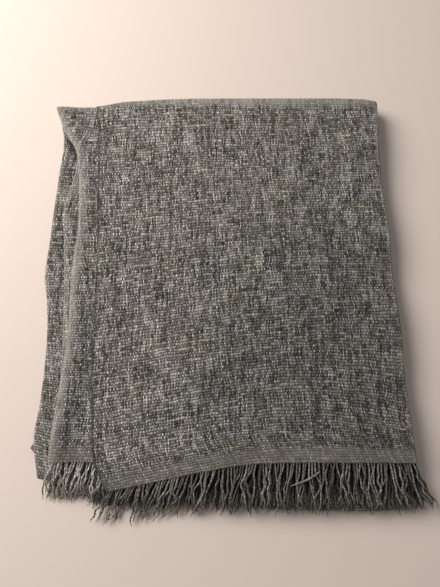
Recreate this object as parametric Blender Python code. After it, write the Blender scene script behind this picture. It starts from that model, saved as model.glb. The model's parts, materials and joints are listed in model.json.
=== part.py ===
"""A fringed wool camp blanket, folded into thirds across its width and then twice along its length.

Frame: metres, +Z up, origin at the middle of the footprint on the ground, +Y towards the last fold.

The cloth runs from one woven end to the other through four quarters:
  quarter 1 (top of the stack), last fold, quarter 2 (bottom), first fold, quarter 3, last fold, quarter 4.
Each quarter is three leaves: the inner leaf, the middle leaf and the flap, joined by a left and a right
side crease. The last fold is the one that opens first, so the upper half turns about its axis.
"""
import math

import bpy

# Driving dimensions, in metres.
CLOTH = 0.0023  # one layer of cloth, pressed by the stack
GAP = 0.0003  # clearance between neighbouring pieces
FOLDED_WIDTH = 0.482  # over both side creases, at the last fold
UPPER_TAPER = 0.024  # how far the upper half's left side leans in at the woven end
LOWER_FLARE = 0.016  # how far the lower half's right side leans out at the first fold
QUARTER_LENGTH = 0.502  # from the woven end to the last fold's axis
OVERHANG = 0.063  # how far the first fold reaches past the woven ends
FLAP_INSET_BACK = 0.048  # flap's selvedge from the left side, at the last fold
FLAP_INSET_FRONT = 0.066  # the same, at the front
INNER_INSET = 0.012  # inner leaf's selvedge from the right side
CORNER_DROP = 0.024  # how far the top flap's free corner hangs forward
CORNER_RUN = 0.105  # width of cloth that drops with that corner
FRINGE_LENGTH = 0.060
FRINGE_ROOT = 0.004  # where the strands are still held together
TASSEL_PITCH = 0.010
TASSEL_WIDTH = 0.006
ARC_STEPS = 10  # straight steps in each half turn of cloth

# Heights. A leaf's level counts layers from the ground.
PITCH = CLOTH + GAP
LAYERS = 12
LAST_FOLD_Z = LAYERS / 2 * PITCH - GAP / 2
FIRST_FOLD_Z = LAYERS / 4 * PITCH - GAP / 2
CREASE_REACH = PITCH - GAP / 2  # how far a side crease bulges past its own axis

# Places along the blanket.
REACH = max(CORNER_DROP + FRINGE_LENGTH, OVERHANG)
TOTAL_LENGTH = REACH + QUARTER_LENGTH + LAST_FOLD_Z
WOVEN_END_Y = REACH - TOTAL_LENGTH / 2
LAST_FOLD_Y = WOVEN_END_Y + QUARTER_LENGTH
FIRST_FOLD_Y = WOVEN_END_Y - OVERHANG + FIRST_FOLD_Z

# Places across the blanket: the axes of the side creases.
LEFT_X = CREASE_REACH - (FOLDED_WIDTH + LOWER_FLARE) / 2
RIGHT_X = LEFT_X + FOLDED_WIDTH - 2 * CREASE_REACH

QUARTERS = {
    1: {"half": "upper", "levels": {"inner": 9, "middle": 10, "flap": 11}},
    2: {"half": "lower", "levels": {"inner": 2, "middle": 1, "flap": 0}},
    3: {"half": "lower", "levels": {"inner": 3, "middle": 4, "flap": 5}},
    4: {"half": "upper", "levels": {"inner": 8, "middle": 7, "flap": 6}},
}
HALVES = {
    "upper": {"front_y": WOVEN_END_Y, "left_front": LEFT_X + UPPER_TAPER, "right_front": RIGHT_X},
    "lower": {"front_y": FIRST_FOLD_Y + GAP, "left_front": LEFT_X, "right_front": RIGHT_X + LOWER_FLARE},
}


def start_collection(name):
    """Clear the scene's objects and return a new collection for the blanket's pieces."""
    for old in list(bpy.data.objects):
        bpy.data.objects.remove(old, do_unlink=True)
    collection = bpy.data.collections.new(name)
    bpy.context.scene.collection.children.link(collection)
    return collection


def wool(name, colour):
    """Return a plain matt wool material."""
    material = bpy.data.materials.new(name)
    material.use_nodes = True
    shader = material.node_tree.nodes["Principled BSDF"]
    shader.inputs["Base Color"].default_value = (*colour, 1.0)
    shader.inputs["Roughness"].default_value = 0.95
    shader.inputs["Metallic"].default_value = 0.0
    return material


def fold_axis(collection):
    """Return the empty that the upper half turns about."""
    empty = bpy.data.objects.new("last_fold_axis", None)
    empty.location = (0.0, LAST_FOLD_Y, LAST_FOLD_Z)
    collection.objects.link(empty)
    return empty


def extruded(name, outline, depth, place, material, parent=None, turn=(0.0, 0.0, 0.0)):
    """Add a closed outline, drawn in its own XY plane and extruded by depth along its own Z."""
    curve = bpy.data.curves.new(name, "CURVE")
    curve.dimensions = "2D"
    curve.fill_mode = "BOTH"
    curve.extrude = depth / 2
    spline = curve.splines.new("POLY")
    spline.points.add(len(outline) - 1)
    for point, (x, y) in zip(spline.points, outline):
        point.co = (x, y, 0.0, 1.0)
    spline.use_cyclic_u = True
    curve.materials.append(material)
    piece = bpy.data.objects.new(name, curve)
    piece.rotation_euler = turn
    piece.location = place
    if parent:
        piece.parent = parent
        piece.location = [a - b for a, b in zip(place, parent.location)]
    bpy.data.collections["camp_blanket"].objects.link(piece)
    return piece


def half_turn(name, radius, length, middle, heading, material, parent=None):
    """Add a half turn of cloth: its axis is level, and it bulges along the heading, an angle about Z."""
    inner = radius - CLOTH / 2
    outer = radius + CLOTH / 2
    angles = [math.pi * (step / ARC_STEPS - 0.5) for step in range(ARC_STEPS + 1)]
    outline = [(outer * math.cos(a), outer * math.sin(a)) for a in angles]
    outline += [(inner * math.cos(a), inner * math.sin(a)) for a in reversed(angles)]
    return extruded(name, outline, length, middle, material, parent, (math.pi / 2, 0.0, heading))


def crossing(half, side, y):
    """Return the x of a half's left or right crease axis at y."""
    shape = HALVES[half]
    front = shape[side + "_front"]
    back = {"left": LEFT_X, "right": RIGHT_X}[side]
    share = (y - shape["front_y"]) / (LAST_FOLD_Y - shape["front_y"])
    return front + (back - front) * share


def leaf_sides(half, leaf, y):
    """Return the left and right edges of a leaf at y, either a selvedge or just short of a crease."""
    left = crossing(half, "left", y)
    right = crossing(half, "right", y)
    front_y = HALVES[half]["front_y"]
    share = (y - front_y) / (LAST_FOLD_Y - front_y)
    inset = FLAP_INSET_FRONT + (FLAP_INSET_BACK - FLAP_INSET_FRONT) * share
    if leaf == "flap":
        return left - CREASE_REACH + inset, right - GAP
    if leaf == "inner":
        return left + GAP, right + CREASE_REACH - INNER_INSET
    return left + GAP, right - GAP


def front_edge(quarter, leaf):
    """Return the points of a leaf's front edge, from left to right."""
    half = QUARTERS[quarter]["half"]
    y = HALVES[half]["front_y"]
    left, right = leaf_sides(half, leaf, y)
    if (quarter, leaf) == (1, "flap"):
        return [(left, y - CORNER_DROP), (left + CORNER_RUN, y), (right, y)]
    return [(left, y), (right, y)]


def add_leaf(quarter, leaf, material, parent):
    """Add one flat leaf of a quarter."""
    half = QUARTERS[quarter]["half"]
    level = QUARTERS[quarter]["levels"][leaf]
    back_y = LAST_FOLD_Y - GAP
    left, right = leaf_sides(half, leaf, back_y)
    outline = front_edge(quarter, leaf) + [(right, back_y), (left, back_y)]
    place = (0.0, 0.0, level * PITCH + CLOTH / 2)
    return extruded(f"quarter_{quarter}_{leaf}", outline, CLOTH, place, material, parent)


def add_side_crease(quarter, side, material, parent):
    """Add the crease that joins two leaves of a quarter along its left or right side."""
    half = QUARTERS[quarter]["half"]
    levels = QUARTERS[quarter]["levels"]
    other = {"left": "inner", "right": "flap"}[side]
    z = (levels["middle"] + levels[other]) / 2 * PITCH + CLOTH / 2
    front_y = HALVES[half]["front_y"]
    back_y = LAST_FOLD_Y - 2 * GAP
    front_x = crossing(half, side, front_y)
    back_x = crossing(half, side, back_y)
    lean = math.atan2(front_x - back_x, back_y - front_y)
    heading = lean + {"left": math.pi, "right": 0.0}[side]
    middle = ((front_x + back_x) / 2, (front_y + back_y) / 2, z)
    length = math.hypot(back_x - front_x, back_y - front_y) - GAP
    name = f"quarter_{quarter}_{side}_crease"
    return half_turn(name, PITCH / 2, length, middle, heading, material, parent)


def add_fold_turn(name, quarter, leaf, fold, material):
    """Add the half turn that carries a leaf around the first or the last fold."""
    half = QUARTERS[quarter]["half"]
    level = QUARTERS[quarter]["levels"][leaf]
    y, z, heading = {
        "first": (FIRST_FOLD_Y, FIRST_FOLD_Z, -math.pi / 2),
        "last": (LAST_FOLD_Y, LAST_FOLD_Z, math.pi / 2),
    }[fold]
    left, right = leaf_sides("lower", leaf, y)
    if fold == "last":
        left, right = leaf_sides(half, leaf, LAST_FOLD_Y)
    radius = abs(level * PITCH + CLOTH / 2 - z)
    return half_turn(name, radius, right - left, ((left + right) / 2, y, z), heading, material)


def add_fringe(quarter, leaf, material, parent):
    """Add the fringe along a leaf's woven end: a comb of tassels on a narrow root."""
    edge = front_edge(quarter, leaf)
    level = QUARTERS[quarter]["levels"][leaf]

    def edge_y(x):
        """Return the y of the woven end at x."""
        for (x0, y0), (x1, y1) in zip(edge, edge[1:]):
            if x <= x1:
                break
        return y0 + (y1 - y0) * (x - x0) / (x1 - x0)

    left, right = edge[0][0], edge[-1][0]
    count = int((right - left) / TASSEL_PITCH)
    pitch = (right - left) / count
    width = TASSEL_WIDTH * pitch / TASSEL_PITCH
    teeth = []
    for number in range(count):
        middle = left + (number + 0.5) * pitch
        tooth_left, tooth_right = middle - width / 2, middle + width / 2
        tip_y = edge_y(middle) - FRINGE_LENGTH
        root_left = edge_y(tooth_left) - FRINGE_ROOT
        root_right = edge_y(tooth_right) - FRINGE_ROOT
        teeth += [(tooth_left, root_left), (tooth_left, tip_y), (tooth_right, tip_y), (tooth_right, root_right)]
    ends = [(left, edge[0][1] - FRINGE_ROOT)], [(right, edge[-1][1] - FRINGE_ROOT)]
    outline = ends[0] + teeth + ends[1] + [(x, y - GAP) for x, y in reversed(edge)]
    place = (0.0, 0.0, level * PITCH + CLOTH / 2)
    return extruded(f"quarter_{quarter}_{leaf}_fringe", outline, CLOTH, place, material, parent)


def build():
    """Build the whole blanket."""
    collection = start_collection("camp_blanket")
    leaf_wool = wool("charcoal_wool", (0.120, 0.110, 0.098))
    fold_wool = wool("charcoal_wool_fold", (0.165, 0.150, 0.138))
    fringe_wool = wool("charcoal_wool_fringe", (0.070, 0.064, 0.056))
    axis = fold_axis(collection)
    for quarter, shape in QUARTERS.items():
        parent = axis if shape["half"] == "upper" else None
        for leaf in shape["levels"]:
            add_leaf(quarter, leaf, leaf_wool, parent)
            if parent:
                add_fringe(quarter, leaf, fringe_wool, parent)
        for side in ("left", "right"):
            add_side_crease(quarter, side, fold_wool, parent)
    for leaf in ("inner", "middle", "flap"):
        add_fold_turn(f"first_fold_{leaf}", 2, leaf, "first", fold_wool)
        add_fold_turn(f"last_fold_outer_{leaf}", 2, leaf, "last", fold_wool)
        add_fold_turn(f"last_fold_inner_{leaf}", 3, leaf, "last", fold_wool)


build()
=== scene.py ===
"""Looks of the folded, fringed wool camp blanket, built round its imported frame.

The cloth is drawn as it is folded: every quarter of its length has an inner leaf, a middle leaf and a flap,
with a soft crease at each side, and the quarters join through half turns at the first and the last fold.
Lengths are in metres unless a comment says millimetres. "Reach" is the distance from the last fold's axis
towards the front, and a leaf's level counts layers from the ground. A leaf's own crease is the one that is
made with it: the right one for a flap, the left one for a middle leaf.
"""
import json
import math

import bpy
import numpy as np
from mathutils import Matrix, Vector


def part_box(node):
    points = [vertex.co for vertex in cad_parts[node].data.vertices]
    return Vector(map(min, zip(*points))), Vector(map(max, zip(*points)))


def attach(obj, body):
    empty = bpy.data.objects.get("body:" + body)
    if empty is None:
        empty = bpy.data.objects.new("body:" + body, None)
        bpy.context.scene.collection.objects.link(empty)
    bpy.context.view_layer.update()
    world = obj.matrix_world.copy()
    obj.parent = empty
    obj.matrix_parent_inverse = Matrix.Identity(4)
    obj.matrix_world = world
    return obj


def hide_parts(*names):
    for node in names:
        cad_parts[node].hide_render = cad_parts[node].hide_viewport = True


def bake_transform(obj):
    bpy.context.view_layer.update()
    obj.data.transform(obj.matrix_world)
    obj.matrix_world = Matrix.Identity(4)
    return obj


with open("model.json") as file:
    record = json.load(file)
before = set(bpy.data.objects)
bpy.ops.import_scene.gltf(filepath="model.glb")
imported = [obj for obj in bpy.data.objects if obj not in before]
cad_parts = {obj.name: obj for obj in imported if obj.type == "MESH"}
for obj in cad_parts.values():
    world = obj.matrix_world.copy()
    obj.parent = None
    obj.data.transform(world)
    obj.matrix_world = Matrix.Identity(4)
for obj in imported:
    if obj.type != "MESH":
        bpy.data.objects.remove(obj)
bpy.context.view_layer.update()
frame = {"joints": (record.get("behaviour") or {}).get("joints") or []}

TOP_LEVEL = 11  # the top flap's; the lowest flap's is 0
CREASE_SLOTS = 4  # of side creases, one above the other

# Sizes taken from the frame.
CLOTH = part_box("quarter_1_flap")[1].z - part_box("quarter_1_flap")[0].z
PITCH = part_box("quarter_1_flap")[0].z / TOP_LEVEL
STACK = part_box("quarter_1_flap")[1].z
FOLD_Y, FOLD_Z = frame["joints"][0]["pos_m"][1:]
FIRST_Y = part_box("first_fold_flap")[1].y
FIRST_Z = FOLD_Z / 2
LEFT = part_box("quarter_3_left_crease")[0].x
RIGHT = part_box("quarter_4_right_crease")[1].x
WOVEN_REACH = FOLD_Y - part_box("quarter_4_middle")[0].y
FIRST_REACH = FOLD_Y - FIRST_Y

# The quarters, along the cloth from the top one. The slot is the one that their side creases fill, and the
# front is where the flat part of their leaves ends.
QUARTERS = {
    1: {
        "body": "upper_half",
        "levels": {"inner": 9, "middle": 10, "flap": 11},
        "slot": 3,
        "front": WOVEN_REACH,
    },
    2: {
        "body": "lower_half",
        "levels": {"inner": 2, "middle": 1, "flap": 0},
        "slot": 0,
        "front": FIRST_REACH,
    },
    3: {
        "body": "lower_half",
        "levels": {"inner": 3, "middle": 4, "flap": 5},
        "slot": 1,
        "front": FIRST_REACH,
    },
    4: {
        "body": "upper_half",
        "levels": {"inner": 8, "middle": 7, "flap": 6},
        "slot": 2,
        "front": WOVEN_REACH,
    },
}
FROM_GROUND_UP = (2, 3, 4, 1)

# How the edges run, in millimetres: (reach, how far right of the frame's left side).
LEFT_EDGES = {
    1: [(0, -2), (46, 16), (73, 31), (120, 39), (188, 42), (253, 38), (336, 40), (407, 33), (502, 25)],
    2: [(0, 2), (100, 8), (250, 7), (360, 5), (430, 3), (500, 0), (519, 0)]
    + [(525, -7), (532, -7), (538, 2), (560, 4)],  # the nip
    3: [(0, -2), (40, 6), (112, 2), (200, -1), (265, -4), (296, 1), (327, 4), (358, 5)]
    + [(400, 5), (470, 4), (520, 0), (560, 7)],
    4: [(0, 2), (46, 24), (90, 33), (125, 27), (155, 20), (222, 23), (293, 27), (400, 30), (502, 33)],
}
# The same from the frame's right side.
RIGHT_EDGES = {
    1: [(0, -9), (20, -10), (60, -12), (117, -11), (294, -4), (374, -2), (451, -1), (502, 3)],
    2: [(0, -10), (60, -13), (120, -11), (200, -8), (400, 2), (502, 6), (560, 14)],
    3: [(0, -10), (60, -12), (150, -9), (300, -3), (450, 1), (502, 5), (560, 17)],
    4: [(0, -11), (60, -13), (120, -12), (300, -7), (420, -4), (502, -1)],
}
# The flaps' selvedges, from the frame's left side, and the inner leaves', from its right side.
FLAP_EDGES = {
    1: [(0, 58), (26, 61), (151, 68), (225, 71), (349, 73), (420, 77), (470, 84), (502, 99)],
    2: [(0, 58), (200, 64), (400, 62), (560, 70)],
    3: [(0, 58), (200, 68), (400, 74), (560, 72)],
    4: [(0, 60), (200, 66), (400, 75), (502, 80)],
}
INNER_EDGES = {
    1: [(0, -17), (250, -20), (502, -15)],
    2: [(0, -17), (250, -14), (560, -18)],
    3: [(0, -17), (250, -19), (560, -14)],
    4: [(0, -17), (250, -15), (502, -21)],
}
# How far the first fold's line is pulled back, and how deep the last fold bulges, in millimetres.
FIRST_FOLD_LINE = [(-260, 44), (-240, 40), (-90, 21), (67, 4), (120, 3), (200, 3), (240, 6), (262, 14)]
LAST_FOLD_DEPTH = [(-252, 1), (-225, 2.5), (-208, -4), (-178, 2), (-143, 7), (-91, 12.5), (0, 15)]
LAST_FOLD_DEPTH += [(188, 14), (205, 13), (219, 9.5), (228, 5.5), (237, 0)]
FULL_FOLD_DEPTH = 0.0150  # where the last fold is as deep as half its height

WARP_PITCH = 0.0019  # from one warp thread to the next, across the cloth
WEFT_PITCH = 0.0037  # from one weft row to the next, along the cloth
HEADING = 0.021  # the denser band before the fringe
TURN_LENGTH = 0.045  # of cloth in the outer half turn, halfway through its thickness
CLOTH_LENGTH = 2 * (WOVEN_REACH + FIRST_REACH) + 1.5 * TURN_LENGTH  # woven length, end to end

HILLS = [(0.0011, 0.17, 5), (0.0006, 0.07, 11), (0.00022, 0.030, 17)]  # each kind's height, length and seed
CREASE_CLEAR = 0.0003  # left free on each side of a crease in its slot
CREASE_WANDER = 0.0007  # how far a crease strays from its line
SELVEDGE_FRILL = 0.0005
PUFF = 0.0019  # how much wider the top quarter's left crease stands
RIGHT_EASE = 0.014  # how far from its right crease a leaf still bends to it
LEFT_EASE = 0.030
CORNER_REACH = 0.26  # how far behind the woven end the dropped corner starts
CORNER_START = 0.020  # where it starts across the cloth
CORNER_SLOPE = 0.21  # how steeply the woven end runs forward there
CORNER_SAG = 0.22  # how steeply it hangs down in front of the woven end's place
DRAWN_IN = 0.006  # how far the back left corner is
# Painted highlight: how pale the cloth is painted at the folds and beside the side creases, where they face
# the light.
HIGHLIGHT_AT_FOLD = 0.85
HIGHLIGHT_AT_FIRST_FOLD = 0.3
LEFT_HIGHLIGHT = {1: (1.0, 0.009), 2: (0.2, 0.003), 3: (0.25, 0.003), 4: (0.7, 0.004)}  # how much, how far in
RIGHT_HIGHLIGHT = (0.5, 0.004)

STRAND_LENGTH = 0.060
STRAND_RADIUS = 0.00098
STRAND_PITCH = {"flap": 0.0038, "middle": 0.0038, "inner": 0.0042}
STRAND_INSIDE = 0.0025  # how far a strand starts inside the woven end
STRAND_SIDES = 8
STRAND_STATIONS = 40
PLY_TURN = 0.0085  # of a strand's length for one full twist


def smooth(t):
    """Rise from 0 to 1 as t does, level at both ends: 3 t squared less 2 t cubed."""
    t = np.clip(t, 0, 1)
    return t * t * (3 - 2 * t)


def through(knots):
    """Return a smooth line through (place, value) knots in millimetres, as a function in metres.

    Each stretch is a cubic whose slopes at its two knots are those of the line through their neighbours.
    """
    place, value = np.array(knots, float).T / 1000
    slope = np.gradient(value, place)

    def at(where):
        where = np.clip(where, place[0], place[-1])
        i = np.clip(np.searchsorted(place, where) - 1, 0, len(place) - 2)
        step = place[i + 1] - place[i]
        t = (where - place[i]) / step
        ends = (1 + 2 * t) * (1 - t) ** 2 * value[i] + t * t * (3 - 2 * t) * value[i + 1]
        return ends + step * (t * (1 - t) ** 2 * slope[i] + t * t * (t - 1) * slope[i + 1])

    return at


def ripples(x, y, length, seed, waves=9):
    """Return uneven relief of about 1: the sum of plane sine waves near one length, in seeded directions."""
    rng = np.random.default_rng(seed)
    total = 0.0
    for _ in range(waves):
        angle, stretch, phase = rng.uniform(0, np.pi), rng.uniform(0.7, 1.6), rng.uniform(0, 2 * np.pi)
        ahead = x * math.cos(angle) + y * math.sin(angle)
        total = total + np.sin(2 * np.pi * ahead / (length * stretch) + phase)
    return total * math.sqrt(2 / waves)


LEFT_LINES = {q: through(knots) for q, knots in LEFT_EDGES.items()}
RIGHT_LINES = {q: through(knots) for q, knots in RIGHT_EDGES.items()}
FLAP_LINES = {q: through(knots) for q, knots in FLAP_EDGES.items()}
INNER_LINES = {q: through(knots) for q, knots in INNER_EDGES.items()}
first_fold_pull = through(FIRST_FOLD_LINE)
last_fold_depth = through(LAST_FOLD_DEPTH)


def relief(x, reach, quarter):
    """Return how far the cloth's hills and hollows lift the top of the stack, faded out at the folds."""
    y = FOLD_Y - reach
    hills = 0.0
    for height, length, seed in HILLS:
        hills = hills + height * ripples(x, y, length, seed)
    fade = smooth(reach / 0.05)
    if QUARTERS[quarter]["body"] == "lower_half":
        fade = fade * smooth((FIRST_REACH - reach) / 0.03)
    return hills * fade


def crease(quarter, side, reach):
    """Return a side crease's axis (x, z) and the radius of its cloth's middle, along the reach.

    Each crease fills its slot of the stack. The top quarter's left one has nothing over it, so it stands
    puffier, on the leaf that it rests on.
    """
    slot = STACK / CREASE_SLOTS
    radius = slot / 2 - CLOTH / 2 - CREASE_CLEAR + 0.0001 * ripples(reach, 0 * reach, 0.09, 31 + quarter)
    z = (QUARTERS[quarter]["slot"] + 0.5) * slot + 0 * reach
    if side == "left" and quarter == 1:
        puff = PUFF * smooth((reach - 0.01) / 0.08) * (1 + 0.18 * ripples(reach, 0 * reach, 0.20, 71))
        radius = radius + puff
        z = z + puff
    wander = CREASE_WANDER * smooth(reach / 0.05)
    if side == "left":
        wander = wander * ripples(reach, 0 * reach, 0.20, 41 + quarter)
        x = LEFT + LEFT_LINES[quarter](reach) + wander + radius + CLOTH / 2
    else:
        wander = wander * ripples(reach, 0 * reach, 0.10, 51 + quarter)
        x = RIGHT + RIGHT_LINES[quarter](reach) + wander - radius - CLOTH / 2
    share = QUARTERS[quarter]["slot"] / (CREASE_SLOTS - 1)
    return x, z + relief(x, reach, quarter) * share, radius


def lie(quarter, leaf, x, reach):
    """Return the height of a leaf's middle: its level in the stack, eased to its creases' heights there."""
    levels = QUARTERS[quarter]["levels"]
    z = levels[leaf] * PITCH + CLOTH / 2 + relief(x, reach, quarter) * levels[leaf] / TOP_LEVEL
    if leaf != "inner":
        side = 1 if (leaf == "flap") == (levels["flap"] > levels["middle"]) else -1
        axis, middle, radius = crease(quarter, "right", reach)
        z = z + (middle + side * radius - z) * (1 - smooth((axis - x) / RIGHT_EASE))
    if leaf != "flap":
        side = 1 if (leaf == "middle") == (levels["middle"] > levels["inner"]) else -1
        axis, middle, radius = crease(quarter, "left", reach)
        z = z + (middle + side * radius - z) * (1 - smooth((x - axis) / LEFT_EASE))
    return z


def soft_ramp(distance, softness):
    """Return s ln(1 + exp(distance / s)): near 0 before the start, then rising with slope 1."""
    return softness * np.log1p(np.exp(distance / softness))


def bow(x, reach):
    """Return how far forward the weft rows have slid within the cloth: it was pulled out of square by hand.

    They hang down to the left, more so towards the front, and a little at the front right; both are soft
    ramps. The corner's own drop is taken off, and at the last fold and the woven end they run true.
    """
    left_slope = 0.055 + 0.125 * smooth(reach / 0.50)
    right_slope = 0.16 * smooth((reach - 0.28) / 0.18)
    slid = left_slope * soft_ramp(0.07 - x, 0.05) + right_slope * soft_ramp(x - 0.11, 0.03)
    true_at_ends = smooth(reach / 0.08) * smooth((WOVEN_REACH - reach) / 0.050)
    return (slid - corner_slack(x, reach)) * true_at_ends


def corner_slack(x, reach):
    """Return how far forward the top flap's free corner hangs: a ramp to the left, steepest at the front."""
    slope = CORNER_SLOPE * smooth((reach - (WOVEN_REACH - CORNER_REACH)) / CORNER_REACH)
    return slope * soft_ramp(CORNER_START - x, 0.020)


def painted_light(quarter, leaf, x, reach):
    """Return how much painted highlight the cloth gets where its creases and folds face the light, from 0 to
    1.

    Below 0 it gets painted shade instead: in the deep hollow beside the top roll, near the last fold, and
    where the lowest quarter's crease is nipped out at the left.
    """
    weight = HIGHLIGHT_AT_FOLD * (1 - smooth((reach + 0.001) / 0.010))
    if leaf != "flap":
        axis, _, _ = crease(quarter, "left", reach)
        most, width = LEFT_HIGHLIGHT[quarter]
        weight = np.maximum(weight, most * (1 - smooth((x - axis - 0.001) / width)))
    if leaf != "inner":
        axis, _, _ = crease(quarter, "right", reach)
        most, width = RIGHT_HIGHLIGHT
        weight = np.maximum(weight, most * (1 - smooth((axis - x) / width)))
    # Painted shade in the hollow beside the top roll.
    if quarter != 1:
        axis, _, radius = crease(1, "left", reach)
        beside_roll = axis - radius - 0.005
        hollow = np.exp(-(((beside_roll - x) / 0.006) ** 2))
        hollow = hollow * smooth((reach - 0.036) / 0.012) * (1 - smooth((reach - 0.070) / 0.050))
        weight = weight * (1 - hollow) - 0.8 * hollow
    # Painted shade where the lowest quarter's crease is nipped out at the left.
    if quarter == 2:
        weight = weight - 0.6 * smooth((LEFT + 0.001 - x) / 0.004)
    return weight


def leaf_points(quarter, leaf, across, turn, reach):
    """Return a leaf's points and how far each is from the flap's selvedge, as (across, along) arrays.

    Across holds shares of the flat part, from the edge that is further from the leaf's own crease, and turn
    angles round that crease. An inner leaf has none, and starts at the middle leaf's crease.
    """
    levels = QUARTERS[quarter]["levels"]
    reach = np.asarray(reach)[None, :]
    share = np.asarray(across)[:, None]
    angle = np.asarray(turn)[:, None]
    right_x, right_z, right_r = crease(quarter, "right", reach)
    left_x, left_z, left_r = crease(quarter, "left", reach)
    frill = SELVEDGE_FRILL * ripples(reach, 0 * reach, 0.012, 91 + quarter)
    flap_x = LEFT + FLAP_LINES[quarter](reach) + frill
    inner_x = RIGHT + INNER_LINES[quarter](reach) + frill
    flap_width = right_x - flap_x
    if leaf == "flap":
        start, end, axis_z, radius, side = flap_x, right_x, right_z, right_r, 1
        begun = 0 * reach
        up = 1 if levels["flap"] > levels["middle"] else -1
    elif leaf == "middle":
        start, end, axis_z, radius, side = right_x, left_x, left_z, left_r, -1
        begun = flap_width + np.pi * right_r
        up = 1 if levels["middle"] > levels["inner"] else -1
    else:
        start, end, axis_z, radius, side = left_x, inner_x, left_z, left_r, 1
        begun = flap_width + np.pi * right_r + right_x - left_x + np.pi * left_r
        up = 0
    x = start + (end - start) * share
    flat = np.stack([x, FOLD_Y - reach + 0 * x, lie(quarter, leaf, x, reach)], -1)
    width = begun + np.abs(x - start)
    if leaf == "inner":
        return flat, width
    bend_x = end + side * radius * np.sin(angle)
    bend = np.stack([bend_x, FOLD_Y - reach + 0 * bend_x, axis_z + up * radius * np.cos(angle)], -1)
    bend_width = begun + np.abs(end - start) + radius * angle
    return np.concatenate([flat, bend]), np.concatenate([width, bend_width])


def drop_corner(points, reach):
    """Let the top flap's free corner hang forward and down, less and less with the distance from it."""
    points[..., 1] -= corner_slack(points[..., 0], reach)
    past_end = np.clip(FOLD_Y - WOVEN_REACH - points[..., 1], 0, None)
    points[..., 2] -= CORNER_SAG * past_end
    return points


def pull_first_fold(points):
    """Draw the lower half's front back, most at the left, as the first fold was not made quite square."""
    unmoved = 0.22  # of the reach
    forward = smooth((FOLD_Y - unmoved - points[..., 1]) / (FIRST_REACH - unmoved))
    points[..., 1] += first_fold_pull(points[..., 0]) * forward
    return points


def draw_in_corner(points):
    """Draw the back left corner in a little, as the last fold was not made quite square either."""
    at_left = smooth((-0.145 - points[..., 0]) / 0.05)
    at_back = smooth((points[..., 1] - (FOLD_Y - 0.09)) / 0.09)
    points[..., 1] -= DRAWN_IN * at_left * at_back
    return points


def around_fold(start, end, axis_y, axis_z, heading, depth, turn):
    """Carry a cross-section round a fold, from one quarter's end to the other's.

    A point starts at its height over the axis and ends as far below it; between them it runs on half an
    ellipse, as deep as that height times depth, and drifts from the first section's shape to the second's.
    """
    share = turn / np.pi
    x = start[:, None, 0] * (1 - share) + end[:, None, 0] * share
    height = (start[:, None, 2] - axis_z) * (1 - share) + (axis_z - end[:, None, 2]) * share
    y = axis_y + heading * height * depth(x) * np.sin(turn)
    return np.stack([x, y, axis_z + height * np.cos(turn)], -1)


def add_values(mesh, name, values):
    """Give every point of a mesh its own number, for the material to read."""
    made = mesh.attributes.new(name, "FLOAT", "POINT")
    made.data.foreach_set("value", values.astype(np.float32).ravel())


def new_piece(name, points, faces, flat, material, body=None, light_paint=None, sharp=()):
    """Make a smooth mesh from points, lists of quads and a flat (width, length) place for each point.

    Sharp names lists of quads by number; they are shaded flat, so that they don't dim the cloth beside them.
    """
    mesh = bpy.data.meshes.new(name)
    mesh.vertices.add(len(points))
    mesh.vertices.foreach_set("co", points.astype(np.float32).ravel())
    corners = np.concatenate([quads.ravel() for quads in faces])
    sizes = np.concatenate([np.full(len(quads), quads.shape[1]) for quads in faces])
    mesh.loops.add(len(corners))
    mesh.loops.foreach_set("vertex_index", corners.astype(np.int32))
    mesh.polygons.add(len(sizes))
    mesh.polygons.foreach_set("loop_start", (np.cumsum(sizes) - sizes).astype(np.int32))
    mesh.update(calc_edges=True)
    smoothly = np.concatenate([np.full(len(quads), i not in sharp) for i, quads in enumerate(faces)])
    mesh.polygons.foreach_set("use_smooth", smoothly)
    # Painted highlight and painted shade, one number for each point, for the material to read.
    if light_paint is not None:
        add_values(mesh, "Brushed", light_paint)
    threads = mesh.uv_layers.new(name="Threads")
    threads.data.foreach_set("uv", flat[corners].astype(np.float32).ravel())
    mesh.validate()
    piece = bpy.data.objects.new(name, mesh)
    bpy.context.scene.collection.objects.link(piece)
    mesh.materials.append(material)
    if body:
        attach(piece, body)
    return piece


def grid_faces(rows, columns, first=0):
    """Return the quads of a grid of points numbered row by row, facing the side of row x column."""
    corner = first + np.arange(rows - 1)[:, None] * columns + np.arange(columns - 1)
    corner = corner.ravel()
    return np.stack([corner, corner + columns, corner + columns + 1, corner + 1], -1)


def rim_faces(over, under):
    """Return the quads between two matching lines of points, one over the other."""
    return np.stack([over[1:], over[:-1], under[:-1], under[1:]], -1)


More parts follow.
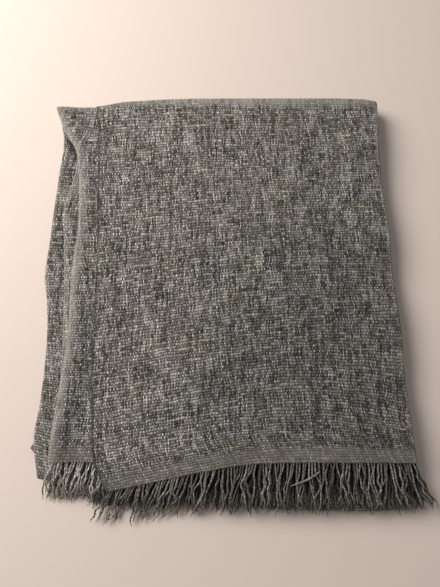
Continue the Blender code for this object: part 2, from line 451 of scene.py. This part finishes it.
def shell(name, middle, flat, free, material, body=None, light_paint=None):
    """Make a closed piece of cloth round its middle surface, an (across, along) grid of points.

    Each side lies half the cloth's thickness off along the normal. Towards a free edge the half thickness
    falls as a circle does, so that selvedges and woven ends are round. Free names those edges; the others,
    where the cloth goes on in the next piece, are cut straight.
    """
    rows, columns = middle.shape[:2]
    normal = np.cross(np.gradient(middle, axis=0), np.gradient(middle, axis=1))
    normal /= np.linalg.norm(normal, axis=-1, keepdims=True)
    steps_across = np.linalg.norm(np.diff(middle, axis=0), axis=-1)
    steps_along = np.linalg.norm(np.diff(middle, axis=1), axis=-1)
    across = np.concatenate([np.zeros((1, columns)), np.cumsum(steps_across, 0)])
    along = np.concatenate([np.zeros((rows, 1)), np.cumsum(steps_along, 1)], 1)
    from_edge = {"start": across, "end": across[-1:] - across, "back": along, "front": along[:, -1:] - along}
    depth = np.full((rows, columns), CLOTH)
    for edge in free:
        depth = np.minimum(depth, from_edge[edge])
    half = CLOTH / 2 * np.sqrt(np.clip(1 - (1 - depth / CLOTH) ** 2, 0.02, 1))[..., None]
    outside = (middle + normal * half).reshape(-1, 3)
    inside = (middle - normal * half).reshape(-1, 3)
    points = np.concatenate([outside, inside])
    number = np.arange(rows * columns).reshape(rows, columns)
    below = number + rows * columns
    faces = [
        grid_faces(rows, columns),
        grid_faces(rows, columns, rows * columns)[:, ::-1],
        rim_faces(number[:, 0], below[:, 0]),
        rim_faces(number[::-1, -1], below[::-1, -1]),
        rim_faces(number[0, ::-1], below[0, ::-1]),
        rim_faces(number[-1], below[-1]),
    ]
    place = flat.reshape(-1, 2)
    light_paint = np.concatenate([light_paint.ravel(), light_paint.ravel()])
    sharp = [i for i, edge in ((2, "back"), (3, "front"), (4, "start"), (5, "end")) if edge not in free]
    return new_piece(name, points, faces, np.concatenate([place, place]), material, body, light_paint, sharp)


def srgb(hex_colour):
    """Return a six-digit sRGB hex colour as linear red, green, blue and an alpha of 1."""
    values = np.array([int(hex_colour[i : i + 2], 16) for i in (0, 2, 4)]) / 255
    linear = np.where(values <= 0.04045, values / 12.92, ((values + 0.055) / 1.055) ** 2.4)
    return (*linear.tolist(), 1.0)


def add(tree, kind, inputs=None, out=0, **settings):
    """Add a shader node with its settings, and values or links for its inputs, and return one output."""
    made = tree.nodes.new("ShaderNode" + kind)
    for key, value in settings.items():
        setattr(made, key, value)
    for key, value in (inputs or {}).items():
        if isinstance(value, bpy.types.NodeSocket):
            tree.links.new(value, made.inputs[key])
        else:
            made.inputs[key].default_value = value
    return made.outputs[out]


def ramp(tree, factor, stops):
    """Add a colour ramp through (place, hex colour) stops."""
    made = tree.nodes.new("ShaderNodeValToRGB")
    tree.links.new(factor, made.inputs[0])
    elements = made.color_ramp.elements
    for element, (place, colour) in zip(elements, (stops[0], stops[-1])):
        element.position = place
        element.color = srgb(colour)
    for place, colour in stops[1:-1]:
        elements.new(place).color = srgb(colour)
    return made.outputs[0]


def new_material(name):
    """Start a material and return it with its node tree and its Principled shader."""
    material = bpy.data.materials.new(name)
    material.use_nodes = True
    return material, material.node_tree, material.node_tree.nodes["Principled BSDF"]


def calc(tree, operation, *values):
    """Add a maths node on values or links."""
    return add(tree, "Math", dict(enumerate(values)), operation=operation)


def vector_calc(tree, operation, *values):
    """Add a vector maths node on values or links."""
    return add(tree, "VectorMath", dict(enumerate(values)), operation=operation)


def axes(tree, vector):
    """Split a vector into its x, y and z."""
    return add(tree, "SeparateXYZ", {0: vector}).node.outputs


def remap(tree, value, start, end, low, high, interpolation="LINEAR"):
    """Carry the range from start to end over to the range from low to high, level beyond both."""
    inputs = {0: value, 1: start, 2: end, 3: low, 4: high}
    return add(tree, "MapRange", inputs, interpolation_type=interpolation)


def noise(tree, vector, scale, detail, roughness=0.5, out=0):
    """Add fractal noise from 0 to 1; its output 1 is a vector of three such noises."""
    inputs = {"Vector": vector, "Scale": scale, "Detail": detail, "Roughness": roughness}
    return add(tree, "TexNoise", inputs, out)


def layer(tree, factor, under, over, blend_type="MIX"):
    """Lay one colour over another by a factor."""
    inputs = {0: factor, 6: under, 7: over}
    return add(tree, "Mix", inputs, 2, data_type="RGBA", blend_type=blend_type)


def finish_wool(tree, shader, colour, roughness, sheen):
    """Give a shader its colour and the dull, soft finish of wool."""
    tree.links.new(colour, shader.inputs["Base Color"])
    shader.inputs["Roughness"].default_value = roughness
    shader.inputs["Specular IOR Level"].default_value = 0.2
    shader.inputs["Sheen Weight"].default_value = sheen
    shader.inputs["Sheen Roughness"].default_value = 0.45
    shader.inputs["Sheen Tint"].default_value = SHEEN


# The wool's colours: from the darkest fibres to the lightest, as (tone, colour).
WOVEN_YARN = [(0.31, "2d2b29"), (0.44, "5a5652"), (0.53, "87827d"), (0.64, "b9b5b0"), (0.78, "e2dfda")]
STRAND_YARN = [(0.32, "454341"), (0.48, "6c6965"), (0.62, "989389"), (0.76, "d0cbc1")]
DYE = [(0.38, "fcfbfd"), (0.62, "fefff4")]
HEADING_WOOL = srgb("868177")
# Laid over the wool as painted light: a pale painted highlight, a dark painted shade, and a dark painted
# shadow line along the flaps' selvedges.
HIGHLIGHT_WOOL = srgb("a6a299")
PAINTED_SHADE_WOOL = srgb("1d1c1b")
SELVEDGE_SHADOW = srgb("2c2a29")
# Painted warm light, bounced from the floor onto the strands' tips.
TIP_BOUNCE_TINT = srgb("eee0cc")
SHEEN = srgb("e6dfd3")


def woven_wool():
    """Coarse plain weave in mélange wool yarn.

    Light and dark fibres are spun together, so each thread changes tone along its length; fine warp threads
    and thick weft rows pass over and under each other by turns, with painted shade in the hollows between
    them.
    The cloth is denser in the heading before the fringe. Painted highlight makes it paler and smoother where
    its creases and folds face the light; painted shade darkens deep hollows, the flaps' selvedges and the
    top flap where the light falls off.
    """
    material, tree, shader = new_material("plain_weave_melange_wool")
    flat = add(tree, "UVMap", uv_map="Threads")
    width, length, _ = axes(tree, flat)
    far_end = calc(tree, "SUBTRACT", CLOTH_LENGTH, length)
    from_end = calc(tree, "MINIMUM", length, far_end)
    heading = remap(tree, from_end, HEADING * 0.85, HEADING * 1.15, 1.0, 0.0)
    selvedge = remap(tree, width, 0.0020, 0.0055, 1.0, 0.0)
    # Painted highlight above 0 and painted shade below it, as numbers on the points.
    light_paint = add(tree, "Attribute", attribute_name="Brushed", out=2)

    # The threads wander a little. Each crossing of a warp thread and a weft row has its own whole numbers.
    wander = noise(tree, flat, 45.0, 2.0, out=1)
    wander = vector_calc(tree, "SUBTRACT", wander, (0.5, 0.5, 0.5))
    wander = add(tree, "VectorMath", {0: wander, "Scale": 0.0050}, operation="SCALE")
    place = vector_calc(tree, "ADD", flat, wander)
    threads = vector_calc(tree, "MULTIPLY", place, (1 / WARP_PITCH, 1 / WEFT_PITCH, 0.0))
    whole = vector_calc(tree, "FLOOR", threads)
    part_across, part_along, _ = axes(tree, vector_calc(tree, "FRACTION", threads))
    warp_number, weft_number, _ = axes(tree, whole)
    total = calc(tree, "ADD", warp_number, weft_number)
    weft_over = calc(tree, "FLOORED_MODULO", total, 2.0)

    def hump(value):
        """4 t (1 - t): a thread's round back, 0 at its sides and 1 along its middle."""
        rest = calc(tree, "SUBTRACT", 1.0, value)
        return calc(tree, "MULTIPLY", calc(tree, "MULTIPLY", value, rest), 4.0)

    across = hump(part_across)
    along = hump(part_along)

    def thread_height(round_way, long_way):
        """A thread's height where it lies on top: round across, and arched over the thread it crosses."""
        arch = calc(tree, "MULTIPLY_ADD", long_way, 0.85, 0.15)
        back = calc(tree, "POWER", round_way, 0.6)
        return calc(tree, "MULTIPLY", back, arch)

    warp_height = thread_height(across, along)
    weft_height = thread_height(along, across)
    height = add(tree, "Mix", {0: weft_over, 2: warp_height, 3: weft_height})

    def thread_tone(scale, offset):
        """Tone along one set of threads: drawn out along the thread and unlike its neighbours'."""
        apart = vector_calc(tree, "MULTIPLY", whole, offset)
        drawn = vector_calc(tree, "MULTIPLY", place, scale)
        return noise(tree, vector_calc(tree, "ADD", apart, drawn), 1.0, 4.0, 0.68)

    warp_tone = thread_tone((0.0, 32.0, 0.0), (7.31, 0.0, 0.0))
    weft_tone = thread_tone((60.0, 0.0, 0.0), (0.0, 6.17, 3.0))
    warp_tone = calc(tree, "ADD", warp_tone, 0.03)
    tone = add(tree, "Mix", {0: weft_over, 2: warp_tone, 3: weft_tone})
    streaks = calc(tree, "SUBTRACT", warp_tone, 0.53)
    tone = calc(tree, "MULTIPLY_ADD", streaks, 0.36, tone)

    def clouds_along(scale):
        """Where lighter or darker yarn lies close together: soft streaks about as long as 1 / scale."""
        drawn = vector_calc(tree, "MULTIPLY", place, scale)
        return calc(tree, "SUBTRACT", noise(tree, drawn, 1.0, 3.0, 0.62), 0.5)

    clouds = clouds_along((150.0, 17.0, 0.0))
    weft_clouds = clouds_along((24.0, 120.0, 5.0))
    tone = calc(tree, "MULTIPLY_ADD", clouds, 0.15, tone)
    tone = calc(tree, "MULTIPLY_ADD", weft_clouds, 0.15, tone)
    fibre = calc(tree, "SUBTRACT", noise(tree, place, 720.0, 2.0, 0.7), 0.5)
    tone = calc(tree, "MULTIPLY_ADD", fibre, 0.74, tone)
    yarn = ramp(tree, tone, WOVEN_YARN)
    # Painted shade: each thread is darker down its sides, into the hollows between threads.
    depth = remap(tree, height, 0.05, 0.72, 0.06, 1.05)
    colour = layer(tree, 1.0, yarn, depth, "MULTIPLY")
    dye = ramp(tree, noise(tree, place, 26.0, 2.0), DYE)
    colour = layer(tree, 1.0, colour, dye, "MULTIPLY")

    # Painted shade where the light falls off: the top flap is darker towards its woven end, away from its
    # selvedge, and along its right crease.
    off_selvedge = remap(tree, width, 0.06, 0.20, 0.0, 1.0, "SMOOTHSTEP")
    near_end = remap(tree, length, 0.12, 0.45, 0.28, 0.0, "SMOOTHSTEP")
    near_crease = remap(tree, width, 0.20, 0.34, 0.0, 0.12, "SMOOTHSTEP")
    on_flap = remap(tree, width, 0.40, 0.60, 1.0, 0.0, "SMOOTHSTEP")
    less = calc(tree, "MULTIPLY_ADD", off_selvedge, near_end, near_crease)
    painted_falloff = calc(tree, "SUBTRACT", 1.15, calc(tree, "MULTIPLY", less, on_flap))
    colour = layer(tree, 1.0, colour, painted_falloff, "MULTIPLY")

    colour = layer(tree, calc(tree, "MULTIPLY", heading, 0.46), colour, HEADING_WOOL)
    # Painted highlight, paler and smoother, where the creases and folds face the light.
    highlight_share = remap(tree, clouds, -0.12, 0.12, 0.34, 0.78)
    colour = layer(tree, calc(tree, "MULTIPLY", highlight_share, light_paint), colour, HIGHLIGHT_WOOL)
    # Painted shade where the number is below 0.
    colour = layer(tree, calc(tree, "MULTIPLY", light_paint, -1.0), colour, PAINTED_SHADE_WOOL)
    # Painted shadow line along the flaps' selvedges.
    colour = layer(tree, calc(tree, "MULTIPLY", selvedge, 0.72), colour, SELVEDGE_SHADOW)
    finish_wool(tree, shader, colour, 0.92, 0.15)
    relief_height = calc(tree, "MULTIPLY_ADD", fibre, 0.35, height)
    normal = add(tree, "Bump", {"Height": relief_height, "Strength": 0.9, "Distance": 0.0010})
    tree.links.new(normal, shader.inputs["Normal"])
    return material


def twisted_wool():
    """Two-ply twisted fringe strands of the same yarn, with painted shade between the plies, and browner at
    the tips with painted warm light bounced from the floor.
    """
    material, tree, shader = new_material("twisted_melange_wool")
    place = add(tree, "UVMap", uv_map="Threads")
    tone = ramp(tree, noise(tree, place, 300.0, 3.0, 0.65), STRAND_YARN)
    # Tone holds each strand's own tone, together with painted light and painted shade.
    depth = add(tree, "Attribute", attribute_name="Tone", out=2)
    colour = layer(tree, 1.0, tone, depth, "MULTIPLY")
    _, run, _ = axes(tree, place)
    # Painted warm light bounced from the floor: the tips are tinted browner.
    tips = remap(tree, run, 0.030, 0.060, 0.0, 0.70)
    colour = layer(tree, tips, colour, TIP_BOUNCE_TINT, "MULTIPLY")
    finish_wool(tree, shader, colour, 0.9, 0.25)
    return material


FINE_STEPS = (0.0002, 0.0007, 0.0014)  # the first points in from a rounded edge


def spread(length, step, fine_start=False, fine_end=False):
    """Return shares from 0 to 1 about a step apart, closer together beside an edge that is to be rounded."""
    even = np.linspace(0, 1, max(int(round(length / step)), 2) + 1)
    edge = np.array(FINE_STEPS) / length
    parts = [edge] if fine_start else []
    parts += [even]
    parts += [1 - edge] if fine_end else []
    return np.unique(np.concatenate(parts))


SEAM = 0.012  # the last fold's pieces reach this far past its axis, where the leaves begin
TURN = np.linspace(0, np.pi, 13)  # the angles round a side crease, then those round the folds
FIRST_TURN = np.linspace(0, np.pi, 15)[1:]
LAST_TURN = np.linspace(0, np.pi, 21)
ACROSS = {
    "flap": spread(0.400, 0.0028, fine_start=True),
    "middle": spread(0.450, 0.0040),
    "inner": spread(0.440, 0.0045, fine_end=True),
}
FREE_ACROSS = {"flap": ["start"], "middle": [], "inner": ["end"]}
OWN_CREASE = {"flap": "right_crease", "middle": "left_crease"}
ROW_STEP = {1: 0.0030, 2: 0.007, 3: 0.006, 4: 0.006}


def along_cloth(quarter, reach):
    """Return how far along the woven cloth a place is, from the top quarter's woven end."""
    begun = {1: WOVEN_REACH, 2: WOVEN_REACH + TURN_LENGTH}
    begun[3] = begun[2] + 2 * FIRST_REACH
    begun[4] = begun[3] + TURN_LENGTH / 2
    return begun[quarter] + (reach if quarter in (2, 4) else -reach)


def flat_places(width, length):
    """Pair up widths and lengths on one (across, along) grid."""
    return np.stack([width, np.broadcast_to(length, width.shape)], -1)


def section_at(quarter, leaf, reach):
    """Return a leaf's cross-section at one reach, and its widths."""
    points, width = leaf_points(quarter, leaf, ACROSS[leaf], TURN, [reach])
    return points[:, 0], width[:, 0]


def make_leaf(quarter, leaf, material):
    """Make one leaf of a quarter with its side crease. Return it and its flat size.

    The third quarter's leaves carry on round the first fold.
    """
    front = QUARTERS[quarter]["front"]
    woven = quarter in (1, 4)
    shares = spread(front - SEAM, ROW_STEP[quarter], fine_end=woven)
    reach = SEAM + (front - SEAM) * shares
    points, width = leaf_points(quarter, leaf, ACROSS[leaf], TURN, reach)
    length = along_cloth(quarter, reach)[None, :]
    if quarter == 1 and leaf != "inner":
        length = length + bow(points[..., 0], reach[None, :])
    flat = flat_places(width, length)
    # Painted highlight and painted shade for each point.
    light_paint = painted_light(quarter, leaf, points[..., 0], reach[None, :])
    if (quarter, leaf) == (1, "flap"):
        points = drop_corner(points, reach[None, :])
    if quarter == 3:
        start, widths = section_at(3, leaf, front)
        end, _ = section_at(2, leaf, front)
        bend = around_fold(start, end, FIRST_Y, FIRST_Z, -1, lambda x: 1.0, FIRST_TURN)
        arc = along_cloth(3, front) - np.abs(start[:, 2:] - FIRST_Z) * FIRST_TURN
        points = np.concatenate([points, bend], 1)
        flat = np.concatenate([flat, np.stack([widths[:, None] + 0 * arc, arc], -1)], 1)
        light_paint = np.concatenate([light_paint, np.maximum(light_paint[:, -1:], HIGHLIGHT_AT_FIRST_FOLD) + 0 * arc], 1)
    if quarter in (2, 3):
        points = pull_first_fold(points)
    points = draw_in_corner(points)
    free = FREE_ACROSS[leaf] + (["front"] if woven else [])
    body = QUARTERS[quarter]["body"]
    piece = shell(f"quarter_{quarter}_{leaf}_cloth", points, flat, free, material, body, light_paint)
    nodes = [f"quarter_{quarter}_{leaf}"]
    nodes += [f"quarter_{quarter}_{OWN_CREASE[leaf]}"] if leaf in OWN_CREASE else []
    nodes += [f"first_fold_{leaf}"] if quarter == 3 else []
    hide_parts(*nodes)
    return piece, (float(flat[..., 0].max() - flat[..., 0].min()), float(front - SEAM))


def make_last_fold(ring, leaf, material):
    """Make one leaf's half turn round the last fold, with a flat margin on both quarters that it joins.

    Return it and its flat size.
    """
    upper, lower = {"outer": (1, 2), "inner": (4, 3)}[ring]
    margin = np.linspace(SEAM, 0, 5)[:-1]
    over, over_width = leaf_points(upper, leaf, ACROSS[leaf], TURN, margin)
    under, under_width = leaf_points(lower, leaf, ACROSS[leaf], TURN, margin[::-1])
    start, widths = section_at(upper, leaf, 0.0)
    end, _ = section_at(lower, leaf, 0.0)

    def depth(x):
        """Return the fold's depth as a share of its half height. It varies across the outer one."""
        return np.clip(last_fold_depth(x) / FULL_FOLD_DEPTH, 0.1, 1.0) if ring == "outer" else 0.55

    bend = around_fold(start, end, FOLD_Y, FOLD_Z, 1, depth, LAST_TURN)
    points = draw_in_corner(np.concatenate([over, bend, under], 1))
    arc = np.abs(start[:, 2:] - FOLD_Z) * LAST_TURN
    begun = along_cloth(upper, 0.0)
    way = 1 if ring == "outer" else -1
    over_length = np.broadcast_to(along_cloth(upper, margin)[None, :], over_width.shape)
    under_length = begun + way * (arc[:, -1:] + margin[::-1][None, :])
    length = np.concatenate([over_length, begun + way * arc, under_length], 1)
    width = np.concatenate([over_width, widths[:, None] + 0 * arc, under_width], 1)
    flat = np.stack([width, length], -1)
    # Painted highlight and painted shade for each point, on both quarters and round the fold.
    over_light_paint = painted_light(upper, leaf, over[..., 0], margin[None, :])
    under_light_paint = painted_light(lower, leaf, under[..., 0], margin[None, ::-1])
    light_paint = np.concatenate([over_light_paint, HIGHLIGHT_AT_FOLD + 0 * arc, under_light_paint], 1)
    name = f"last_fold_{ring}_{leaf}_cloth"
    piece = shell(name, points, flat, FREE_ACROSS[leaf], material, None, light_paint)
    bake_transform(piece)
    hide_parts(f"last_fold_{ring}_{leaf}")
    return piece, (float(width.max() - width.min()), float(arc.mean(0)[-1] + 2 * SEAM))


def ground_under(x, y):
    """Return how high the strands' ground is: the lower half, and a slope down to the floor round it."""
    front = FIRST_Y - 0.5 * FOLD_Z + first_fold_pull(x)
    over_front = smooth((y - front + 0.022) / 0.031)
    over_left = smooth((x - LEFT - 0.001) / 0.009) ** 0.5
    return (FOLD_Z + 0.0002) * over_front * over_left


def edge_left_of_flap():
    """Return where the top flap's selvedge meets its woven end: strands left of it are seen from above."""
    return LEFT + FLAP_LINES[1](np.array([WOVEN_REACH]))[0]


def loose_thread(t):
    """Return the path of one stray strand, which lies across the others' roots and sags a little."""
    x = 0.114 - 0.036 * t
    y = FOLD_Y - WOVEN_REACH - 0.0105 - 0.017 * t - 0.002 * np.sin(np.pi * t)
    z = STACK - 0.0008 - 0.0040 * t**1.4 + 0.0006 * np.sin(2 * np.pi * t)
    return x, y, z


def woven_end(quarter, leaf):
    """Return points along a leaf's woven end, from left to right."""
    shares = np.linspace(0, 1, 400)
    edge, _ = leaf_points(quarter, leaf, shares, TURN, [WOVEN_REACH])
    edge = edge[: len(shares)]
    if (quarter, leaf) == (1, "flap"):
        edge = drop_corner(edge, np.array([[WOVEN_REACH]]))
    return edge[np.argsort(edge[:, 0, 0]), 0]


def strand_paths(rng, quarter, leaf, t):
    """Return where a leaf's strands start across, how far each has run at the shares t, and their paths.

    A strand leaves the woven end level and falls to what lies under it within two thirds of its length. It
    leans, swings and curls to the side, draws together with its neighbours into tufts, and kinks.
    """
    level = QUARTERS[quarter]["levels"][leaf]
    edge = woven_end(quarter, leaf)
    low_x = edge[0, 0] + 0.001
    high_x = edge[-1, 0] + 0.001
    count = int((high_x - low_x) / STRAND_PITCH[leaf])

    def vary(amount, middle=0.0):
        """Draw a number for each strand."""
        return rng.normal(middle, amount, count)[:, None]

    def wave(amount, waves):
        """Draw a sine wave for each strand."""
        return vary(amount) * np.sin(2 * np.pi * (t * waves + rng.uniform(0, 1, count)[:, None]))

    root_x = np.linspace(low_x, high_x, count) + rng.normal(0, 0.0007, count)
    root_y = np.interp(root_x, edge[:, 0], edge[:, 1])[:, None]
    root_z = np.interp(root_x, edge[:, 0], edge[:, 2])[:, None]
    beside = (root_x < edge_left_of_flap())[:, None]
    length = vary(0.0035, STRAND_LENGTH) * np.where(beside, 0.84, 1.0)
    from_right = (high_x - root_x)[:, None]
    from_left = (root_x - LEFT)[:, None]
    lean = vary(0.09) - 0.30 + 0.30 * smooth((root_x + 0.15) / 0.33)[:, None]
    lean = lean + 0.50 * np.exp(-from_right / 0.020) - 0.06 * np.exp(-from_left / 0.030)
    if (quarter, leaf) == (1, "flap"):
        corner = np.exp(-(root_x - low_x)[:, None] / 0.06)
        lean = lean - 0.12 * corner
        length = length * (1 - 0.28 * corner)
    swing = wave(0.0026, 0.9)
    curl = vary(0.0035, 0.0025) * t**4
    tuft = 0.0034 * ripples(root_x, 0 * root_x, 0.040, 60 + level)[:, None]
    tuft = tuft * t**1.5 * smooth(from_right / 0.03)
    kink = wave(0.0007, 3.1)
    run = t * (length + STRAND_INSIDE) - STRAND_INSIDE
    x = root_x[:, None] + lean * np.clip(run, 0, None) + (swing + curl + tuft + kink) * smooth(t * 2.2)
    y = root_y - run * (0.955 - 0.3 * np.abs(lean) ** 2) + 0.0012 * vary(1) * t**2
    pile = 0.0014 + (level - 6) * 0.0016 + rng.uniform(-0.0008, 0.0016, count)[:, None]
    fall = smooth((t - 0.04) / 0.62)
    z = root_z * (1 - fall) + (ground_under(x, y) + pile * (1 - 0.40 * t)) * fall
    z = np.maximum(z, ground_under(x, y) + 0.0015)
    if (quarter, leaf) == (1, "flap"):
        x[-1:], y[-1:], z[-1:] = loose_thread(t)
    return root_x, run, np.stack([x, y, z], -1)


def make_fringe(quarter, leaf, material):
    """Make one leaf's fringe: two-ply twisted strands, each carried along its own path.

    A strand's section is a circle with two lobes, r (1 + 0.28 cos 2a), that turns with the strand; r shrinks
    towards the tip. The strands that lie on top and those beside the top flap are painted palest, as lit;
    the covered ones get painted shade.
    """
    rng = np.random.default_rng(100 * quarter + len(leaf))
    t = np.linspace(0, 1, STRAND_STATIONS)[None, :]
    root_x, run, path = strand_paths(rng, quarter, leaf, t)
    count = len(root_x)
    heading = np.gradient(path, axis=1)
    heading /= np.linalg.norm(heading, axis=-1, keepdims=True)
    side = np.cross(heading, [0.0, 0.0, 1.0])
    side /= np.linalg.norm(side, axis=-1, keepdims=True)
    up = np.cross(side, heading)
    around = np.linspace(0, 2 * np.pi, STRAND_SIDES, endpoint=False)[None, None, :]
    twist = (2 * np.pi * run / PLY_TURN + rng.uniform(0, 6, count)[:, None])[..., None]
    taper = 1 - 0.75 * smooth((t[..., None] - 0.80) / 0.20)
    radius = rng.normal(STRAND_RADIUS, 0.00012, count)[:, None, None] * taper
    lobes = np.cos(2 * (around - twist))
    ring = radius * (1 + 0.28 * lobes)
    outward = np.cos(around)[..., None] * side[:, :, None] + np.sin(around)[..., None] * up[:, :, None]
    points = path[:, :, None] + ring[..., None] * outward
    number = np.arange(ring.size).reshape(ring.shape)
    following = np.roll(number, -1, 2)
    walls = np.stack([number[:, :-1], following[:, :-1], following[:, 1:], number[:, 1:]], -1).reshape(-1, 4)
    ends = [number[:, 0, ::-1], number[:, -1]]
    round_place = root_x[:, None, None] * 3 + ((around - twist) / (2 * np.pi) % 1.0) * 0.003 + 0 * ring
    flat = np.stack([round_place, run[..., None] + 0 * ring], -1).reshape(-1, 2)

    # Painted light and shade: strands on top, and most of all those beside the top flap, are painted light;
    # covered ones are painted dark.
    beside = root_x < edge_left_of_flap()
    on_top = (quarter, leaf) == (1, "flap") or ((quarter, leaf) == (1, "middle")) * beside
    lit_tone = np.where(beside, 3.1, 1.16)
    shaded_tone = np.where(beside, 1.6, 0.17)
    tone = np.where(on_top, lit_tone, shaded_tone) * rng.uniform(0.5, 1.3, count)
    # Painted shade near the roots, where the strands leave the woven end. The covered strands' tips are
    # painted much paler where they come out into the light, and the top ones' tips a little darker.
    tips = smooth((run - 0.030) / 0.025)
    tip_change = np.where(on_top, -0.25, np.where(beside, 0.2, 2.4))[:, None]
    painted_light_along = (0.65 + 0.35 * smooth(run / 0.010)) * (1 + tip_change * tips)
    # Painted shade in the grooves between the two plies.
    tone = tone[:, None, None] * painted_light_along[..., None] * (0.80 + 0.38 * lobes)
    name = f"quarter_{quarter}_{leaf}_strands"
    body = QUARTERS[quarter]["body"]
    piece = new_piece(name, points.reshape(-1, 3), [walls, *ends], flat, material, body)
    # Tone holds painted light and painted shade as well as each strand's own tone.
    add_values(piece.data, "Tone", tone)
    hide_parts(f"quarter_{quarter}_{leaf}_fringe")
    return piece


def make_floor():
    """Lay a plain pale floor under the blanket."""
    bpy.ops.mesh.primitive_plane_add(size=6.0, location=(0, 0, -0.0003))
    floor = bpy.context.object
    floor.name = "floor"
    material, _, shader = new_material("pale_cotton_floor")
    shader.inputs["Base Color"].default_value = srgb("e1d3c7")
    shader.inputs["Roughness"].default_value = 0.9
    shader.inputs["Specular IOR Level"].default_value = 0.1
    floor.data.materials.append(material)


def soft_box(name, place, target, size, energy, colour):
    """Hang a round area lamp that looks at a target."""
    lamp = bpy.data.lights.new(name, "AREA")
    lamp.shape = "DISK"
    lamp.size = size
    lamp.energy = energy
    lamp.color = srgb(colour)[:3]
    holder = bpy.data.objects.new(name, lamp)
    bpy.context.scene.collection.objects.link(holder)
    holder.location = place
    aim = np.array(target) - np.array(place)
    down = math.acos(-aim[2] / np.linalg.norm(aim))
    holder.rotation_euler = (down, 0, math.atan2(aim[1], aim[0]) - math.pi / 2)


def make_light():
    """Light the blanket softly from the left and a little behind, with a fainter fill all round."""
    soft_box("key_light", (-1.16, 0.70, 1.12), target=(0, 0, 0), size=1.20, energy=39.0, colour="fffbf9")
    world = bpy.data.worlds.new("studio")
    bpy.context.scene.world = world
    world.use_nodes = True
    sky = world.node_tree.nodes["Background"]
    sky.inputs["Color"].default_value = srgb("f8f6f8")
    sky.inputs["Strength"].default_value = 0.25
    bpy.context.scene.view_settings.view_transform = "Standard"


def make_camera():
    """Look down on the blanket from a standing height close by, tilted a little towards the last fold."""
    lens = bpy.data.cameras.new("camera")
    lens.lens = 27.05  # millimetres, like the sensor's width
    lens.sensor_width = 36.0
    lens.clip_start = 0.01
    holder = bpy.data.objects.new("camera", lens)
    bpy.context.scene.collection.objects.link(holder)
    holder.location = (-0.009, FOLD_Y - 0.410, 0.609)
    holder.rotation_euler = (math.radians(12.0), 0.0, 0.0)
    bpy.context.scene.camera = holder


def build():
    weave = woven_wool()
    strand = twisted_wool()
    for quarter in FROM_GROUND_UP:
        levels = QUARTERS[quarter]["levels"]
        for leaf in sorted(levels, key=levels.get):
            piece, flat = make_leaf(quarter, leaf, weave)
            fringe = [make_fringe(quarter, leaf, strand)] if quarter in (1, 4) else []
    for ring in ("outer", "inner"):
        for leaf in ("flap", "middle", "inner"):
            piece, flat = make_last_fold(ring, leaf, weave)
    make_floor()
    make_light()
    make_camera()


build()
